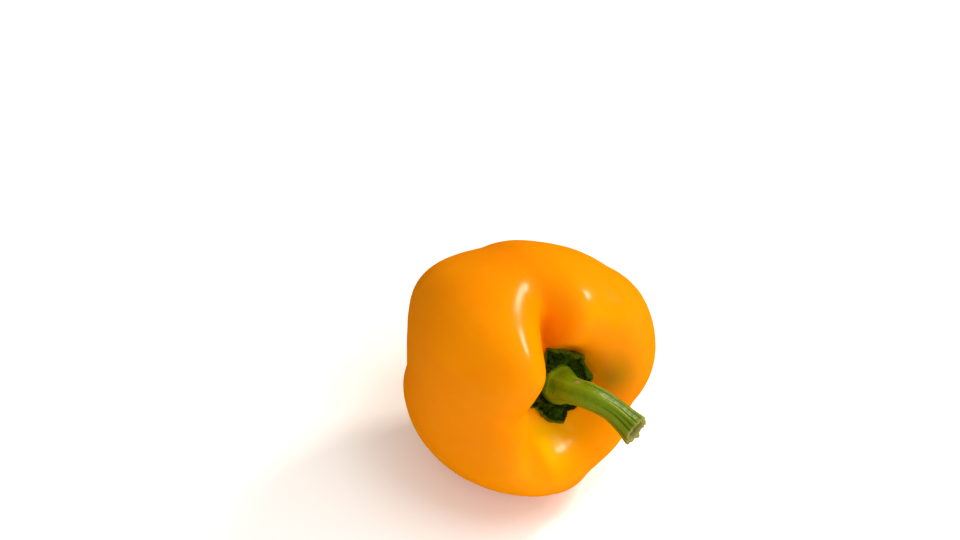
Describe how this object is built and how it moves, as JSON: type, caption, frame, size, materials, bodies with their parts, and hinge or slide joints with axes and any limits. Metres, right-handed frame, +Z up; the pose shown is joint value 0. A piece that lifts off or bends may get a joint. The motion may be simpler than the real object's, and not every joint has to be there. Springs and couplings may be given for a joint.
{
  "type": "bell pepper",
  "caption": "Ripe orange bell pepper lying on its side, with a lobed glossy fruit, a crinkled calyx pressed into the stem hollow and a curved, cut stem",
  "frame": {"origin": "Under the middle of the whole pepper's box, on the surface that it lies on", "axes": "+Z is up; the stem end looks towards -Y, a little to the right; +X is to the right as seen from the stem end"},
  "size_m": [0.098, 0.103, 0.0863],
  "materials": {
    "skin": "waxy, smooth, glossy orange skin",
    "calyx_green": "dark green, crinkled, semi-matt",
    "stem_green": "yellow-green, ribbed, satin"
  },
  "bodies": {
    "root": {"fruit": "skin", "calyx": "calyx_green", "stem": "stem_green"}
  },
  "joints": []
}
